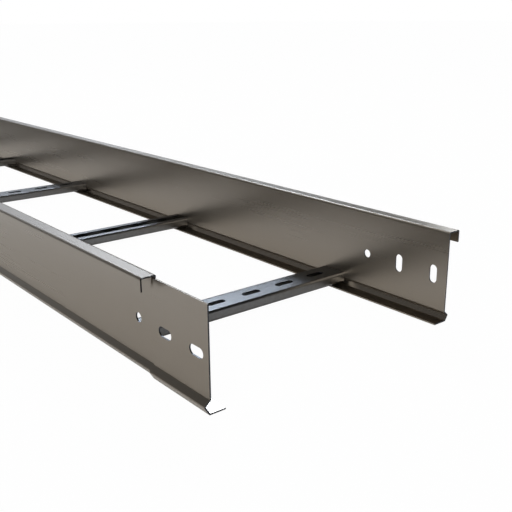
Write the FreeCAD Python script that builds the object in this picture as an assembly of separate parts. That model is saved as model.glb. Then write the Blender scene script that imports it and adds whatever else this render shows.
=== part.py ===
"""Cable ladder section: two roll-formed side rails joined by alternating channel rungs.

Frame: +X runs along the ladder, +Y across it, +Z up. The origin is in the middle of the
length and width, on the floor under the lowest face. Millimetres throughout.

Each side rail is one bent sheet. From the top down it has an outward hook, a flat web,
a V-shaped bead that bulges outward, and a flange that turns inward. One end of each rail
is joggled outward and down by a sheet's thickness, with its hook cut away, so that it
laps outside the plain end of the next section. The two rails are the same part, turned
half a turn about Z.
"""

import FreeCAD, Part
import math
import os

from FreeCAD import Vector

# Overall sizes
LADDER_LENGTH = 3000.0
INNER_WIDTH = 300.0
OVERALL_HEIGHT = 100.0
SHEET = 1.5

# Side rail section
HOOK_WIDTH = 16.0
HOOK_LIP = 13.0
BEAD_REACH = 5.2
BEAD_UPPER_DROP = 4.6
BEAD_LOWER_DROP = 5.6
BEAD_RETURN = 3.5
FOOT_REACH = 14.5

# Joggled end
LAP_LENGTH = 85.0
HOOK_SETBACK = 80.0
LAP_TRIM = 2.7
LAP_CLEARANCE = 0.3
JOGGLE_RUN = 2.0
JOGGLE_FADE = 12.0

# Rail holes, measured from each end and down from the top
SPLICE_END_DISTANCE = 17.5
SPLICE_SPACING = 47.0
SPLICE_SLOT_LENGTH = 20.0
SPLICE_SLOT_WIDTH = 9.5
ACCESSORY_HOLE_DISTANCE = 111.5
ACCESSORY_HOLE_DIAMETER = 9.5
HOLE_LINE_DROP = 49.0

# Rungs; their slots are measured from the end on the -Y side
RUNG_PITCH = 334.0
END_MARGIN = 150.0
RUNG_WIDTH = 35.0
RUNG_HEIGHT = 12.0
RUNG_SHEET = 1.5
RUNG_OPENING = 16.0
RUNG_RISE = 6.25
RUNG_SLOT_LENGTH = 24.5
RUNG_SLOT_WIDTH = 8.5
RUNG_SLOT_PITCH = 48.5
RUNG_SLOT_FIRST = 25.5
RUNG_SLOT_LAST = 20.0

# Values worked out from the sizes above
JOGGLE_STEP = SHEET + LAP_CLEARANCE
FOOT_LEVEL = JOGGLE_STEP + SHEET / 2
BEAD_LEVEL = FOOT_LEVEL + BEAD_LOWER_DROP
WEB_FOOT_LEVEL = BEAD_LEVEL + BEAD_UPPER_DROP
HOOK_LEVEL = OVERALL_HEIGHT - SHEET / 2
LAP_TOP = OVERALL_HEIGHT - LAP_TRIM
HOLE_LEVEL = OVERALL_HEIGHT - HOLE_LINE_DROP
RUNG_TOP = WEB_FOOT_LEVEL + RUNG_RISE
HALF_LENGTH = LADDER_LENGTH / 2
HALF_WIDTH = INNER_WIDTH / 2


def corner_shift(before, after, distance):
    """Vector from a corner to the same corner of the path offset to its left."""
    left_before = Vector(0, -before.z, before.y)
    left_after = Vector(0, -after.z, after.y)
    bisector = left_before + left_after
    return bisector * (distance / bisector.dot(left_before))


def offset_path(points, distance):
    """Offset an open path in the YZ plane to its left, with mitred corners."""
    runs = [(b - a).normalize() for a, b in zip(points, points[1:])]
    pairs = zip([runs[0]] + runs, runs + [runs[-1]])
    return [p + corner_shift(a, b, distance) for p, (a, b) in zip(points, pairs)]


def rounded_edges(points, radii):
    """Edges along an open path, with an arc of the given radius at each inner corner."""
    edges = []
    start = points[0]
    for before, corner, after, radius in zip(points, points[1:], points[2:], radii):
        way_in = (corner - before).normalize()
        way_out = (after - corner).normalize()
        half_turn = way_in.getAngle(way_out) / 2
        tangent = radius * math.tan(half_turn)
        if tangent > 0:
            arc_start = corner - way_in * tangent
            arc_end = corner + way_out * tangent
            inward = (way_out - way_in).normalize()
            middle = corner + inward * (radius / math.cos(half_turn) - radius)
            edges.append(Part.LineSegment(start, arc_start).toShape())
            edges.append(Part.Arc(arc_start, middle, arc_end).toShape())
            start = arc_end
        else:
            edges.append(Part.LineSegment(start, corner).toShape())
            start = corner
    edges.append(Part.LineSegment(start, points[-1]).toShape())
    return edges


def sheet_outline(path, thickness, unbent=()):
    """Closed outline of a bent sheet whose mid-line follows the path.

    The bends are rolled sharp inside, so outside each is as round as the sheet is thick.
    Corners whose index is in unbent stay sharp on both sides: the sheet hardly turns there.
    """
    left = offset_path(path, thickness / 2)
    right = offset_path(path, -thickness / 2)
    left_radii = []
    right_radii = []
    for index in range(1, len(path) - 1):
        way_in = path[index] - path[index - 1]
        way_out = path[index + 1] - path[index]
        turns_left = way_in.cross(way_out).x > 0
        outside_radius = 0 if index in unbent else thickness
        left_radii.append(0 if turns_left else outside_radius)
        right_radii.append(outside_radius if turns_left else 0)
    edges = rounded_edges(left, left_radii)
    edges.append(Part.LineSegment(left[-1], right[-1]).toShape())
    edges += rounded_edges(right[::-1], right_radii[::-1])
    edges.append(Part.LineSegment(right[0], left[0]).toShape())
    return Part.Wire(edges)


def outline_at(wire, x):
    """Copy of an outline, moved to a station along the length."""
    moved = wire.copy()
    moved.translate(Vector(x, 0, 0))
    return moved


def extruded(wire, x_from, x_to):
    """Solid between two stations along the length, of constant section."""
    return Part.Face(outline_at(wire, x_from)).extrude(Vector(x_to - x_from, 0, 0))


def outward(reach, level):
    """Point of a rail section: reach outward of the web's inner face, and level."""
    return Vector(0, -HALF_WIDTH - reach, level)


def foot_path(web_top):
    """Mid-line from the top of the web down round the bead to the foot's inner edge."""
    web = SHEET / 2
    return [
        outward(web, web_top),
        outward(web, WEB_FOOT_LEVEL),
        outward(web + BEAD_REACH, BEAD_LEVEL),
        outward(web + BEAD_REACH - BEAD_RETURN, FOOT_LEVEL),
        outward(-FOOT_REACH, FOOT_LEVEL),
    ]


def joggled(path):
    """The path pressed outward and down by the joggle step, at equal lengths."""
    shifted = offset_path(path, -JOGGLE_STEP)
    shifted[-1] += Vector(0, -JOGGLE_STEP, 0)
    return shifted


def hook_path():
    """Mid-line of the hook, from the bottom of its lip to the top of the web."""
    edge = HOOK_WIDTH - SHEET / 2
    return [
        outward(edge, OVERALL_HEIGHT - HOOK_LIP),
        outward(edge, HOOK_LEVEL),
        outward(SHEET / 2, HOOK_LEVEL),
    ]


def slot_tool(length, width, depth):
    """Cutter with round ends about the origin: long along X, cutting along Z."""
    radius = width / 2
    half_run = length / 2 - radius
    ends = [
        Part.makeCylinder(radius, depth, Vector(x, 0, -depth / 2)) for x in (-half_run, half_run)
    ]
    if half_run <= 0:
        return ends[0]
    middle = Part.makeBox(2 * half_run, width, depth, Vector(-half_run, -radius, -depth / 2))
    return middle.fuse(ends)


def rail_tool(length, width, station, upright=False):
    """Cutter for a hole or slot through the web of the rail, level or upright."""
    tool = slot_tool(length, width, HOOK_WIDTH)
    if upright:
        tool.rotate(Vector(0, 0, 0), Vector(0, 0, 1), 90)
    tool.rotate(Vector(0, 0, 0), Vector(1, 0, 0), 90)
    tool.translate(Vector(station, -HALF_WIDTH, HOLE_LEVEL))
    return tool


def rail_hole_tools():
    """Cutters for both ends: level slots in the lap, upright ones in the plain end."""
    tools = []
    for index in range(2):
        station = HALF_LENGTH - SPLICE_END_DISTANCE - index * SPLICE_SPACING
        tools.append(rail_tool(SPLICE_SLOT_LENGTH, SPLICE_SLOT_WIDTH, station))
        tools.append(rail_tool(SPLICE_SLOT_LENGTH, SPLICE_SLOT_WIDTH, -station, upright=True))
    for side in (-1, 1):
        station = side * (HALF_LENGTH - ACCESSORY_HOLE_DISTANCE)
        tools.append(rail_tool(ACCESSORY_HOLE_DIAMETER, ACCESSORY_HOLE_DIAMETER, station))
    return tools


def make_side_rail():
    """The rail on the -Y side, with its joggled end at +X."""
    lap_start = HALF_LENGTH - LAP_LENGTH
    joggle_start = lap_start - JOGGLE_RUN
    hook_end = HALF_LENGTH - HOOK_SETBACK
    hook = hook_path()
    web_top = HOOK_LEVEL - JOGGLE_FADE
    plain = hook + foot_path(web_top)
    pressed = hook + joggled(foot_path(web_top))
    fade = (len(hook),)
    plain_outline = sheet_outline(plain, SHEET, fade)
    pressed_outline = sheet_outline(pressed, SHEET, fade)
    lap_outline = sheet_outline(joggled(foot_path(LAP_TOP)), SHEET)
    body = extruded(plain_outline, -HALF_LENGTH, joggle_start)
    joggle = Part.makeLoft(
        [outline_at(plain_outline, joggle_start), outline_at(pressed_outline, lap_start)],
        True,
        True,
    )
    hooked_lap = extruded(pressed_outline, lap_start, hook_end)
    open_lap = extruded(lap_outline, hook_end, HALF_LENGTH)
    rail = body.fuse([joggle, hooked_lap, open_lap]).removeSplitter()
    return rail.cut(rail_hole_tools())


def rung_outline():
    """Channel section with its web on top and two lips turned in below."""
    half_sheet = RUNG_SHEET / 2
    side = RUNG_WIDTH / 2 - half_sheet
    upper = RUNG_TOP - half_sheet
    lower = RUNG_TOP - RUNG_HEIGHT + half_sheet
    half_opening = RUNG_OPENING / 2
    path = [
        Vector(0, -half_opening, lower),
        Vector(0, -side, lower),
        Vector(0, -side, upper),
        Vector(0, side, upper),
        Vector(0, side, lower),
        Vector(0, half_opening, lower),
    ]
    return sheet_outline(path, RUNG_SHEET)


def rung_slot_tools():
    """Cutters for the row of slots in the rung's web, as the strip was punched and cut."""
    first = RUNG_SLOT_FIRST - HALF_WIDTH
    gaps = int((INNER_WIDTH - RUNG_SLOT_FIRST - RUNG_SLOT_LAST) // RUNG_SLOT_PITCH)
    tools = []
    for index in range(gaps + 1):
        tool = slot_tool(RUNG_SLOT_LENGTH, RUNG_SLOT_WIDTH, RUNG_HEIGHT)
        tool.translate(Vector(first + index * RUNG_SLOT_PITCH, 0, RUNG_TOP))
        tools.append(tool)
    return tools


def make_rung():
    """A rung with its slotted web up, lying along Y at the middle of the ladder."""
    channel = extruded(rung_outline(), -HALF_WIDTH, HALF_WIDTH)
    channel = channel.cut(rung_slot_tools())
    channel.rotate(Vector(0, 0, 0), Vector(0, 0, 1), 90)
    return channel


def rung_stations():
    """Places of the rungs along the length, evenly about the middle."""
    gaps = int((LADDER_LENGTH - 2 * END_MARGIN) // RUNG_PITCH)
    return [(index - gaps / 2) * RUNG_PITCH for index in range(gaps + 1)]


def save(shape, name):
    """Write one closed solid as its own STEP file."""
    solid = shape.Solids[0]
    if len(shape.Solids) != 1 or not solid.isValid():
        raise ValueError(f"{name} is not one valid solid")
    solid.exportStep(os.path.join("parts", name + ".step"))
    print(f"{name}: {solid.Volume / 1000:.1f} cm3")


def main():
    os.makedirs("parts", exist_ok=True)
    rail = make_side_rail()
    save(rail, "side_rail_left")
    other_rail = rail.copy()
    other_rail.rotate(Vector(0, 0, 0), Vector(0, 0, 1), 180)
    save(other_rail, "side_rail_right")

    slotted_up = make_rung()
    opening_up = slotted_up.copy()
    opening_up.rotate(Vector(0, 0, RUNG_TOP - RUNG_HEIGHT / 2), Vector(0, 1, 0), 180)
    for index, station in enumerate(rung_stations()):
        rung = (slotted_up if index % 2 == 0 else opening_up).copy()
        rung.translate(Vector(station, 0, 0))
        save(rung, f"rung_{index + 1}")


main()
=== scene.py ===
"""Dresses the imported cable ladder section: sheet steel finishes, weld seams, studio and camera.

Lengths are metres and angles are degrees unless a name says otherwise. +X runs along the
ladder, +Y across it and +Z up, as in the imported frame.
"""

import logging
import math
from abc import ABC, abstractmethod
from dataclasses import dataclass
from enum import Enum
from typing import Any, Callable

import bpy
import numpy as np
from mathutils import Matrix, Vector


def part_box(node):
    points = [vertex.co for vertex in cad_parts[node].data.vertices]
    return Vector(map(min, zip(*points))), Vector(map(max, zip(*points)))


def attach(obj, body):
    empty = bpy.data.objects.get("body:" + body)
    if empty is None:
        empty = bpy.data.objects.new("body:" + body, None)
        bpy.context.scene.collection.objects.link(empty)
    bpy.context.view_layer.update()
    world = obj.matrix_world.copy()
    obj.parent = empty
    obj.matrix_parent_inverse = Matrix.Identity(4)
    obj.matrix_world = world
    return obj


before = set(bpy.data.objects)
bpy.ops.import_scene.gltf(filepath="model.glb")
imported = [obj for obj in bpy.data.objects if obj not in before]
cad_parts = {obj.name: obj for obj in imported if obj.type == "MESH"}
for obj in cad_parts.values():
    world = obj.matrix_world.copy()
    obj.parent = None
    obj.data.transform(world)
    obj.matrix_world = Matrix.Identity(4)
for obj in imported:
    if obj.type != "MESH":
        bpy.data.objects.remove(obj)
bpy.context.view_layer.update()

Triple = tuple[float, float, float]
BLACK: Triple = (0.0, 0.0, 0.0)
WHITE: Triple = (1.0, 1.0, 1.0)
log = logging.getLogger("ladder")


@dataclass(frozen=True)
class Wire:
    """A node's output that takes part in arithmetic: each operator adds its Math node."""

    graph: "Graph"
    socket: bpy.types.NodeSocket

    def _math(self, operation: str, first: Any, second: Any = 0.0) -> "Wire":
        """Add a Math node on two values or wires."""
        return self.graph.add("ShaderNodeMath", {"operation": operation}, {0: first, 1: second})

    def __add__(self, other: Any) -> "Wire":
        """Sum."""
        return self._math("ADD", self, other)

    def __radd__(self, other: Any) -> "Wire":
        """Sum with a plain number first."""
        return self._math("ADD", other, self)

    def __sub__(self, other: Any) -> "Wire":
        """Difference."""
        return self._math("SUBTRACT", self, other)

    def __rsub__(self, other: Any) -> "Wire":
        """Difference with a plain number first."""
        return self._math("SUBTRACT", other, self)

    def __mul__(self, other: Any) -> "Wire":
        """Product."""
        return self._math("MULTIPLY", self, other)

    def __rmul__(self, other: Any) -> "Wire":
        """Product with a plain number first."""
        return self._math("MULTIPLY", other, self)

    def __or__(self, other: Any) -> "Wire":
        """The greater of two values or masks."""
        return self._math("MAXIMUM", self, other)

    def __ror__(self, other: Any) -> "Wire":
        """The greater of two values, with a plain number first."""
        return self._math("MAXIMUM", other, self)

    def __gt__(self, other: Any) -> "Wire":
        """One where this is greater, else zero."""
        return self._math("GREATER_THAN", self, other)

    def __lt__(self, other: Any) -> "Wire":
        """One where this is less, else zero."""
        return self._math("LESS_THAN", self, other)

    def __abs__(self) -> "Wire":
        """Size without sign."""
        return self._math("ABSOLUTE", self)


class Graph:
    """A shader node tree that is written as Python expressions."""

    def __init__(self, tree: bpy.types.NodeTree) -> None:
        """Start the tree empty.

        Args:
            tree: The node tree of a material or a world.
        """
        self.tree = tree
        tree.nodes.clear()

    def add(
        self,
        kind: str,
        settings: dict[str, Any] | None = None,
        sockets: dict[str | int, Any] | None = None,
        output: str | int = 0,
    ) -> Wire:
        """Add a node of any type.

        Args:
            kind: The node's type, such as ShaderNodeTexNoise.
            settings: Its properties, set first. "stops" is a colour ramp's list of place and grey.
            sockets: Values or wires by input name or number.
            output: Which output the returned wire leaves from.

        Returns:
            A wire from that output.
        """
        node = self.tree.nodes.new(kind)
        for name, value in (settings or {}).items():
            if name == "stops":
                self._set_stops(node, value)
            else:
                setattr(node, name, value)
        for name, value in (sockets or {}).items():
            if isinstance(value, Wire):
                self.tree.links.new(value.socket, node.inputs[name])
            else:
                node.inputs[name].default_value = value
        return Wire(self, node.outputs[output] if len(node.outputs) else None)

    @staticmethod
    def _set_stops(node: bpy.types.Node, stops: tuple[tuple[float, float], ...]) -> None:
        """Give a colour ramp its stops.

        Args:
            node: The colour ramp.
            stops: A place from 0 to 1 and a grey for each stop.
        """
        elements = node.color_ramp.elements
        while len(elements) < len(stops):
            elements.new(1.0)
        for element, (place, grey) in zip(elements, stops):
            element.position = place
            element.color = (grey, grey, grey, 1.0)

    def blend(self, factor: Any, first: Any, second: Any, way: str = "MIX") -> Wire:
        """Blend two colours by a factor.

        Args:
            factor: Zero for the first colour and one for the full effect of the second.
            first: A colour or a wire.
            second: A colour or a wire.
            way: The Mix node's blend type.

        Returns:
            The blended colour.
        """
        pair = [(*c, 1.0) if isinstance(c, tuple) else c for c in (first, second)]
        settings = {"data_type": "RGBA", "blend_type": way}
        return self.add("ShaderNodeMix", settings, {0: factor, 6: pair[0], 7: pair[1]}, 2)

    def vector(self, operation: str, first: Any, second: Any = (0.0, 0.0, 0.0)) -> Wire:
        """Add a Vector Math node.

        Args:
            operation: The node's operation.
            first: A vector or a wire.
            second: A vector or a wire, where the operation takes two.

        Returns:
            A number from a dot product, and a vector from all else.
        """
        settings, sockets = {"operation": operation}, {0: first, 1: second}
        output = "Value" if operation == "DOT_PRODUCT" else "Vector"
        return self.add("ShaderNodeVectorMath", settings, sockets, output)

    def noise(self, place: Wire, scale: Triple, detail: float) -> Wire:
        """Noise around zero, from -0.5 to 0.5, with a size of its own along each axis.

        Args:
            place: The position that the noise is read at.
            scale: Features to the metre along X, Y and Z.
            detail: Octaves of finer noise on top.

        Returns:
            The noise.
        """
        stretched = self.vector("MULTIPLY", place, scale)
        sockets = {"Vector": stretched, "Scale": 1.0, "Detail": detail}
        return self.add("ShaderNodeTexNoise", {}, sockets) - 0.5

    def metal(self, colour: Any, roughness: Any, relief: Any) -> None:
        """End a material's graph in bare metal.

        Args:
            colour: Its colour.
            roughness: Its roughness.
            relief: Height of its surface in metres.
        """
        sockets = {"Strength": 1.0, "Distance": 1.0, "Height": relief}
        bump = self.add("ShaderNodeBump", {}, sockets)
        sockets = {"Base Color": colour, "Metallic": 1.0, "Roughness": roughness, "Normal": bump}
        shader = self.add("ShaderNodeBsdfPrincipled", {}, sockets)
        self.add("ShaderNodeOutputMaterial", {}, {"Surface": shader})


def new_material(name: str) -> tuple[bpy.types.Material, Graph]:
    """Start a material.

    Args:
        name: Its name.

    Returns:
        The material and its empty graph.
    """
    made = bpy.data.materials.new(name)
    made.use_nodes = True
    return made, Graph(made.node_tree)


def new_object(name: str, data: bpy.types.ID) -> bpy.types.Object:
    """Put a mesh, lamp or camera in the scene.

    Args:
        name: The object's name.
        data: What it shows.

    Returns:
        The object, at the origin.
    """
    made = bpy.data.objects.new(name, data)
    bpy.context.scene.collection.objects.link(made)
    return made


def facing(graph: Graph, axis: str) -> Wire:
    """How squarely a surface faces along X, Y or Z, from zero to one."""
    normal = graph.add("ShaderNodeTexCoord", output="Normal")
    return abs(graph.add("ShaderNodeSeparateXYZ", {}, {0: normal}, axis))


def level(graph: Graph, axis: str) -> Wire:
    """Place along X, Y or Z."""
    place = graph.add("ShaderNodeTexCoord", output="Object")
    return graph.add("ShaderNodeSeparateXYZ", {}, {0: place}, axis)


def nearness(graph: Graph, level_way: Wire, yaw: float) -> Wire:
    """Cosine of the angle between a level direction and a yaw, which turns from +X to +Y."""
    towards = (math.cos(math.radians(yaw)), math.sin(math.radians(yaw)), 0.0)
    return graph.vector("DOT_PRODUCT", level_way, towards)


class Rolling(Enum):
    """The way that a strip ran through the mill, along which its grain is drawn out."""

    ALONG_LADDER = (1.0, 0.0, 0.0)
    ACROSS_LADDER = (0.0, 1.0, 0.0)

    def scale(self, lengthwise: float, crosswise: float) -> Triple:
        """Noise scale with one value along the grain and another across it."""
        return tuple(lengthwise if part else crosswise for part in self.value)


@dataclass(frozen=True)
class StripSteel:
    """Satin finish of pickled strip steel that was rolled, slit and punched.

    The strip has fine streaks and broad bands along its grain, soft mottling, a speckle of
    etched grains, a slight wave that loosens its reflections, and dull edges where it was
    sheared or punched. Their dark colour is partly painted shade: it darkens the walls of the
    punched holes and the cut ends to the shade that falls in them. Scales are features to the
    metre, along and across the grain or along X, Y and Z. Swings are how far the roughness moves.
    """

    name: str
    rolling: Rolling
    colour: Triple
    roughness: float
    # Painted shade: a dark colour for the sheared and punched faces. It stands in for the shade in
    # the holes and on the cut ends, on top of their real dull finish.
    sheared_colour: Triple = (0.055, 0.057, 0.062)
    sheared_roughness: float = 0.35
    mottle: float = 0.10
    streak: float = 0.03
    speckle: float = 0.03
    soft_swing: float = 0.06
    streak_swing: float = 0.05
    streak_height: float = 0.000001
    wave_height: float = 0.00025
    streak_scale: tuple[float, float] = (9.0, 1400.0)
    band_scale: tuple[float, float] = (1.5, 90.0)
    wave_scale: tuple[float, float] = (2.0, 14.0)
    mottle_scale: Triple = (6.0, 9.0, 9.0)
    speckle_scale: Triple = (260.0, 260.0, 260.0)
    pattern_step: Triple = (0.37, 0.61, 0.0)

    def material(
        self, number: int, sheared: Callable[[Graph], Wire], bends: Callable[[Graph], Wire]
    ) -> bpy.types.Material:
        """Build the material for one piece.

        Args:
            number: The piece's own number, which moves its pattern so that like pieces differ.
            sheared: Adds the nodes that give one on the piece's sheared edges and zero elsewhere.
            bends: Adds the nodes that give how far its faces fall away beside the bends.

        Returns:
            The material.
        """
        made, graph = new_material(f"{self.name}_{number}")
        shift = tuple(step * number for step in self.pattern_step)
        place = graph.add("ShaderNodeTexCoord", output="Object")
        place = graph.add("ShaderNodeMapping", {}, {"Vector": place, "Location": shift})
        streaks = graph.noise(place, self.rolling.scale(*self.streak_scale), 3.0)
        bands = graph.noise(place, self.rolling.scale(*self.band_scale), 2.0)
        waves = graph.noise(place, self.rolling.scale(*self.wave_scale), 1.0)
        clouds = graph.noise(place, self.mottle_scale, 3.0)
        grains = graph.noise(place, self.speckle_scale, 2.0)

        # Painted shade: the sheared faces take the dark colour, which stands in for the shade in
        # the holes and on the cut ends. Their higher roughness is their real dull finish.
        edge = sheared(graph)
        bare = graph.blend(edge, self.colour, self.sheared_colour)
        tone = clouds * self.mottle + grains * self.speckle + (bands + streaks) * self.streak + 1.0
        grey = graph.add("ShaderNodeCombineColor", {}, {0: tone, 1: tone, 2: tone})
        colour = graph.blend(1.0, bare, grey, "MULTIPLY")
        satin = (clouds + bands) * self.soft_swing + streaks * self.streak_swing + self.roughness
        roughness = satin + edge * (self.sheared_roughness - self.roughness)
        relief = streaks * self.streak_height + waves * self.wave_height - bends(graph)
        graph.metal(colour, roughness, relief)
        return made


@dataclass
class SheetPiece(ABC):
    """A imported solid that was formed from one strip, and that strip's finish."""

    node: bpy.types.Object
    number: int
    finish: StripSteel
    bend_radius: float = 0.003
    bend_facing: float = 0.35

    @abstractmethod
    def sheared(self, graph: Graph) -> Wire:
        """One on the sheared edges and zero elsewhere."""

    @abstractmethod
    def bends(self, graph: Graph) -> Wire:
        """How far the faces fall away beside the bends."""

    def rounded(self, graph: Graph, axis: str, place: Wire, edge: float) -> Wire:
        """How far the faces that look along an axis fall away beside one bend.

        The fall is that of a parabola: the square of the distance past the start of the
        bend, over twice its radius.

        Args:
            graph: The material's graph.
            axis: X, Y or Z.
            place: A place on the face, measured towards the bend.
            edge: The far side of the bend, measured the same way.

        Returns:
            The fall, which is zero away from the bend.
        """
        past = (place - (edge - self.bend_radius)) | 0.0
        return past * past * (0.5 / self.bend_radius) * (facing(graph, axis) > self.bend_facing)

    def dress(self) -> None:
        """Put the strip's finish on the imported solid."""
        self.node.data.materials.clear()
        self.node.data.materials.append(self.finish.material(self.number, self.sheared, self.bends))


@dataclass
class SideRail(SheetPiece):
    """One side rail: hook, web, bead and foot rolled from one strip."""

    bend_radius: float = 0.0027
    end_facing: float = 0.9
    web_facing: float = 0.6
    holes_above: float = 0.038
    holes_below: float = 0.064
    hook_middle: float = 0.158
    hook_half: float = 0.008
    hook_above: float = 0.05
    top: float = 0.1

    def sheared(self, graph: Graph) -> Wire:
        """One on the cut ends and the walls of the punched holes.

        Args:
            graph: The material's graph.

        Returns:
            One there and zero elsewhere.
        """
        height = level(graph, "Z")
        beside_holes = (height > self.holes_above) * (height < self.holes_below)
        off_web = facing(graph, "Y") < self.web_facing
        return (facing(graph, "X") > self.end_facing) | off_web * beside_holes

    def bends(self, graph: Graph) -> Wire:
        """How far the faces fall away beside the hook's two bends.

        Args:
            graph: The material's graph.

        Returns:
            The fall.
        """
        height = level(graph, "Z")
        off_middle = abs(abs(level(graph, "Y")) - self.hook_middle)
        across = self.rounded(graph, "Z", off_middle, self.hook_half)
        down = self.rounded(graph, "Y", height, self.top)
        return across * (height > self.hook_above) + down


@dataclass
class Rung(SheetPiece):
    """One rung: a lipped channel with a row of slots in its web."""

    flat_facing: float = 0.5
    half_opening: float = 0.0085
    half_width: float = 0.0175
    half_height: float = 0.006
    middle: float = 0.013
    skin: float = 0.0013

    def station(self) -> float:
        """Place of the rung along the ladder, from its own box."""
        low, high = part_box(self.node.name)
        return (low[0] + high[0]) / 2

    def sheared(self, graph: Graph) -> Wire:
        """One on the slots' walls and the lips' edges, which stand upright near the middle."""
        off_middle = abs(level(graph, "X") - self.station())
        return (off_middle < self.half_opening) * (facing(graph, "Z") < self.flat_facing)

    def bends(self, graph: Graph) -> Wire:
        """How far the outer faces fall away beside the four bends.

        Args:
            graph: The material's graph.

        Returns:
            The fall.
        """
        off_middle = abs(level(graph, "X") - self.station())
        off_height = abs(level(graph, "Z") - self.middle)
        across = self.rounded(graph, "Z", off_middle, self.half_width)
        down = self.rounded(graph, "X", off_height, self.half_height)
        return across + down * (off_middle > self.half_width - self.skin)


@dataclass(frozen=True)
class WeldSteel:
    """Weld metal, grey with patches of straw heat tint and a fine grit.

    Scales are features to the metre.
    """

    colour: Triple = (0.21, 0.205, 0.20)
    tint: Triple = (0.15, 0.115, 0.09)
    tint_share: float = 0.375
    tint_contrast: float = 2.5
    tint_scale: Triple = (260.0, 260.0, 260.0)
    roughness: float = 0.42
    roughness_swing: float = 0.2
    grit_height: float = 0.00015
    grit_scale: Triple = (1500.0, 1500.0, 1500.0)

    def material(self) -> bpy.types.Material:
        """Build the material.

        Returns:
            The material.
        """
        made, graph = new_material("weld_metal")
        place = graph.add("ShaderNodeTexCoord", output="Object")
        patches = graph.noise(place, self.tint_scale, 2.0)
        grit = graph.noise(place, self.grit_scale, 2.0)
        tinted = patches * self.tint_contrast + self.tint_share
        colour = graph.blend(tinted, self.colour, self.tint)
        roughness = grit * self.roughness_swing + self.roughness
        graph.metal(colour, roughness, grit * self.grit_height)
        return made


@dataclass
class WeldSeams:
    """The short fillet seams that join each rung's -X side wall to the two webs."""

    stations: np.ndarray
    finish: WeldSteel
    wall: float = 0.0175
    web: float = 0.150
    foot: float = 0.0082
    head: float = 0.0178
    leg: float = 0.0034
    roundness: float = 0.33
    buried: float = 0.2
    dome_power: int = 8
    dome_reach: float = 0.999
    ripples: float = 8.0
    ripple_height: float = 0.025
    ripple_trail: float = 0.45
    rings: int = 57
    around: int = 20

    def build(self) -> bpy.types.Object:
        """Make all the seams as one piece, dress it and let it ride on the ladder.

        Returns:
            The piece.
        """
        mesh = bpy.data.meshes.new("weld_seams")
        mesh.from_pydata(self.points().reshape(-1, 3), [], self.faces())
        mesh.polygons.foreach_set("use_smooth", np.ones(len(mesh.polygons), bool))
        mesh.materials.append(self.finish.material())
        piece = new_object("weld_seams", mesh)
        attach(piece, "root")
        return piece

    def points(self) -> np.ndarray:
        """Points of every seam, by seam, ring and place around the ring.

        A ring is a slightly bulged fillet in the corner between wall and web. In the open
        quarter its radius is the leg over a sum that would make the face flat, eased by the
        roundness towards a round face. Elsewhere it is a small share of the leg, inside the
        metal. Rings swell and shrink with crescent ripples, a sine along the seam that trails
        in the middle of the face. They close at both ends along a dome: the root of one less
        a high even power of the distance from the seam's middle.

        Returns:
            An array of seams by rings by places around by 3.
        """
        share = np.linspace(0.0, 1.0, self.rings)[:, None]
        angle = np.linspace(0.0, 2.0 * math.pi, self.around, endpoint=False)
        open_quarter = angle <= math.pi / 2 + 1e-9
        flat = 1.0 / (np.abs(np.cos(angle)) + np.abs(np.sin(angle)))
        bulged = self.roundness + (1.0 - self.roundness) * flat
        face = np.where(open_quarter, bulged, self.buried)
        dome = np.sqrt(1.0 - self.dome_reach * (2.0 * share - 1.0) ** self.dome_power)
        trail = self.ripple_trail * np.where(open_quarter, np.sin(2.0 * angle), 0.0)
        wave = np.sin(2.0 * math.pi * (self.ripples * share + trail))
        radius = self.leg * dome * (1.0 + self.ripple_height * wave) * face

        station = self.stations[:, None, None, None]
        side = np.array([-1.0, 1.0])[None, :, None, None]
        x = station - self.wall - radius * np.cos(angle)
        y = side * (self.web - radius * np.sin(angle))
        z = self.foot + (self.head - self.foot) * share
        points = np.stack(np.broadcast_arrays(x, y, z), axis=-1)
        return points.reshape(-1, self.rings, self.around, 3)

    def faces(self) -> list[list[int]]:
        """Faces of every seam: quads between the rings and one cap at each end.

        The two seams of a rung mirror each other, so the one on the -Y web, which comes
        first, has its rings run the other way round. All faces then point out.

        Returns:
            Lists of point numbers.
        """
        seams = 2 * len(self.stations)
        index = np.arange(seams * self.rings * self.around).reshape(seams, self.rings, self.around)
        index[0::2] = index[0::2, :, ::-1]
        ahead = np.roll(index, -1, axis=2)
        quads = np.stack([index[:, :-1], ahead[:, :-1], ahead[:, 1:], index[:, 1:]], axis=-1)
        caps = np.concatenate([index[:, 0, ::-1], index[:, -1]])
        return quads.reshape(-1, 4).tolist() + caps.tolist()


@dataclass(frozen=True)
class Window:
    """A bright patch of the surroundings, which spreads to both sides of its yaw.

    Its two heights, and the softness of its lower and upper edge, are sines of a ray's
    height.
    """

    yaw: float
    half_width: float
    heights: tuple[float, float]
    light: Triple
    softness: float = 0.01

    def glow(self, graph: Graph, height: Wire, level_way: Wire) -> Wire:
        """Add the window's light.

        Args:
            graph: The world's graph.
            height: Sine of a ray's height.
            level_way: The ray's level part, at length one.

        Returns:
            The window's light inside it and black elsewhere.
        """
        (low, high), soft = self.heights, self.softness
        places = (0.0, low - soft, low + soft, high - soft, high + soft)
        stops = tuple(zip(places, (0.0, 0.0, 1.0, 1.0, 0.0)))
        rise = graph.add("ShaderNodeValToRGB", {"stops": stops}, {0: height})
        inside = nearness(graph, level_way, self.yaw) > math.cos(math.radians(self.half_width))
        return graph.blend(inside, BLACK, graph.blend(rise, BLACK, self.light))


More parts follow.
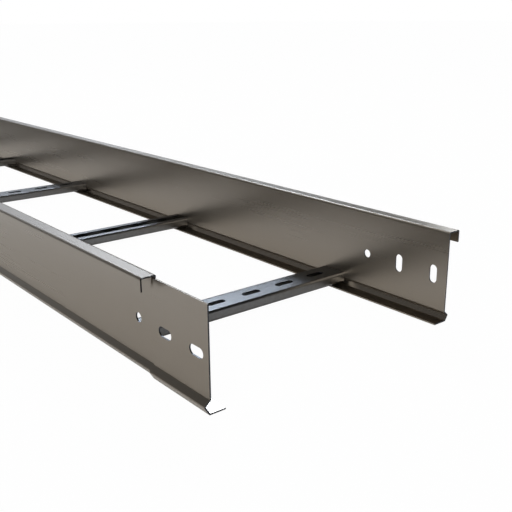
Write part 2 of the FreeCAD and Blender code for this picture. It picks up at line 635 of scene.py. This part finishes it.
@dataclass
class Studio:
    """A dim room over a white floor, with a softbox overhead and five windows.

    Three windows stand beyond the ladder's -X end, one on its -Y side and one beyond its
    +X end. The walls are greys by the sine of a ray's height, and dim around the dark yaw.
    The dark fade is where the dimming starts and ends, from 0 facing away from that yaw to
    1 facing it.
    """

    floor_reach: float = 60.0
    floor_colour: Triple = (0.9, 0.9, 0.9)
    floor_seen: float = 0.98
    floor_mirrored: float = 0.245
    walls: tuple[tuple[float, float], ...] = (
        (0.0, 0.25), (0.20, 0.25), (0.40, 0.21), (0.53, 0.125), (0.68, 0.08), (1.0, 0.04)
    )
    dark_yaw: float = 42.0
    dark_fade: tuple[float, float] = (0.60, 0.69)
    dark_share: float = 0.35
    windows: tuple[Window, ...] = (
        Window(172.0, 20.5, (0.22, 0.50), (0.73, 0.81, 0.94)),
        Window(121.0, 4.5, (0.22, 0.32), (9.6, 10.2, 10.8)),
        Window(147.0, 9.0, (0.51, 0.66), (18.4, 21.2, 25.5)),
        Window(-60.0, 22.0, (0.25, 0.75), (4.2, 4.1, 3.9)),
        Window(-20.0, 22.0, (0.08, 0.50), (1.3, 1.33, 1.37)),
    )
    softbox_size: tuple[float, float] = (3.6, 1.6)
    softbox_height: float = 2.4
    softbox_power: float = 18.0

    def build(self) -> None:
        """Make the floor, the surroundings and the softbox."""
        self._floor()
        self._world()
        self._softbox()

    def _floor(self) -> None:
        """Lay a square floor at level 0, a grid of two points each way."""
        reach = np.array([-self.floor_reach, self.floor_reach])
        x, y = np.meshgrid(reach, reach, indexing="ij")
        mesh = bpy.data.meshes.new("studio_floor")
        points = np.column_stack([x.ravel(), y.ravel(), np.zeros(x.size)])
        mesh.from_pydata(points, [], [(0, 2, 3, 1)])
        mesh.materials.append(self._floor_material())
        new_object("studio_floor", mesh)

    def _floor_material(self) -> bpy.types.Material:
        """Make a pale floor that keeps a faint shadow and looks white to the eye and in steel.

        Returns:
            The material.
        """
        made, graph = new_material("pale_floor")
        matt = graph.add("ShaderNodeBsdfDiffuse", {}, {"Color": (*self.floor_colour, 1.0)})
        white = graph.add("ShaderNodeEmission", {}, {"Color": (*WHITE, 1.0), "Strength": 1.0})
        eye, mirror, glass = (
            graph.add("ShaderNodeLightPath", output=f"Is {ray} Ray")
            for ray in ("Camera", "Glossy", "Transmission")
        )
        seen = eye * self.floor_seen | (mirror | glass) * self.floor_mirrored
        shader = graph.add("ShaderNodeMixShader", {}, {0: seen, 1: matt, 2: white})
        graph.add("ShaderNodeOutputMaterial", {}, {"Surface": shader})
        return made

    def _world(self) -> None:
        """Surround the scene with light that the steel and floor see, and white for the eye."""
        world = bpy.data.worlds.new("studio_world")
        bpy.context.scene.world = world
        world.use_nodes = True
        graph = Graph(world.node_tree)
        way = graph.add("ShaderNodeTexCoord", output="Generated")
        height = graph.add("ShaderNodeSeparateXYZ", {}, {0: way}, "Z")
        level_way = graph.vector("NORMALIZE", graph.vector("MULTIPLY", way, (1.0, 1.0, 0.0)))

        room = graph.add("ShaderNodeValToRGB", {"stops": self.walls}, {0: height})
        towards_dark = nearness(graph, level_way, self.dark_yaw) * 0.5 + 0.5
        fade = tuple(zip(self.dark_fade, (1.0, self.dark_share)))
        shade = graph.add("ShaderNodeValToRGB", {"stops": fade}, {0: towards_dark})
        lit = graph.vector("MULTIPLY", room, shade)
        for window in self.windows:
            lit = graph.vector("ADD", lit, window.glow(graph, height, level_way))

        eye = graph.add("ShaderNodeLightPath", output="Is Camera Ray")
        sockets = {"Color": graph.blend(eye, lit, WHITE), "Strength": 1.0}
        shader = graph.add("ShaderNodeBackground", {}, sockets)
        graph.add("ShaderNodeOutputWorld", {}, {"Surface": shader})

    def _softbox(self) -> None:
        """Hang a large soft lamp over the ladder, facing down."""
        lamp = bpy.data.lights.new("overhead_softbox", "AREA")
        lamp.shape = "RECTANGLE"
        lamp.size, lamp.size_y = self.softbox_size
        lamp.energy = self.softbox_power
        softbox = new_object("overhead_softbox", lamp)
        softbox.location = (0.0, 0.0, self.softbox_height)
        softbox.visible_camera = False


@dataclass(frozen=True)
class PhotoCamera:
    """The camera that the photo was taken with, worked out from the ladder's edges in it.

    Its yaw turns it left from looking along +Y, and its tilt turns it down from level.
    """

    place: Triple = (1.9501, -0.4677, 0.3091)
    yaw: float = 51.067
    tilt: float = 17.512
    roll: float = -0.356
    focal_pixels: float = 752.97
    photo_pixels: float = 512.0
    sensor_mm: float = 36.0
    clip: tuple[float, float] = (0.01, 100.0)

    def build(self) -> None:
        """Create the camera and make it the scene's own."""
        data = bpy.data.cameras.new("photo_camera")
        data.sensor_width = self.sensor_mm
        data.lens = self.focal_pixels / self.photo_pixels * self.sensor_mm
        data.clip_start, data.clip_end = self.clip
        camera = new_object("photo_camera", data)
        turn = Matrix.Rotation(math.radians(self.yaw), 4, "Z")
        nod = Matrix.Rotation(math.radians(90.0 - self.tilt), 4, "X")
        lean = Matrix.Rotation(math.radians(self.roll), 4, "Z")
        camera.matrix_world = Matrix.Translation(self.place) @ turn @ nod @ lean
        bpy.context.scene.camera = camera


def ladder_pieces(nodes: dict[str, bpy.types.Object]) -> list[SheetPiece]:
    """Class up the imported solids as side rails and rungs.

    Args:
        nodes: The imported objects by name.

    Returns:
        One side rail or rung for each.
    """
    rail = StripSteel("rail_satin_steel", Rolling.ALONG_LADDER, (0.298, 0.262, 0.219), 0.29)
    # The rungs' steel is a cooler grey than the rails'. Its darker tone is partly painted shade,
    # standing in for the dim light on the rungs' front walls.
    rung = StripSteel(
        "rung_satin_steel", Rolling.ACROSS_LADDER, (0.160, 0.158, 0.154), 0.30, speckle=0.28
    )
    return [
        SideRail(node, number, rail) if name.startswith("side_rail") else Rung(node, number, rung)
        for number, (name, node) in enumerate(sorted(nodes.items()))
    ]


def main() -> None:
    """Dress the ladder, then set up the studio and the camera."""
    logging.basicConfig(level=logging.INFO, format="%(name)s: %(message)s")
    pieces = ladder_pieces(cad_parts)
    for piece in pieces:
        piece.dress()
        log.info("dressed %s", piece.node.name)
    stations = np.array([piece.station() for piece in pieces if isinstance(piece, Rung)])
    seams = WeldSeams(stations, WeldSteel()).build()
    log.info("made %s: %d faces", seams.name, len(seams.data.polygons))
    Studio().build()
    PhotoCamera().build()
    log.info("set up the studio and the camera")
    bpy.context.scene.view_settings.view_transform = "Standard"


if __name__ == "__main__":
    main()
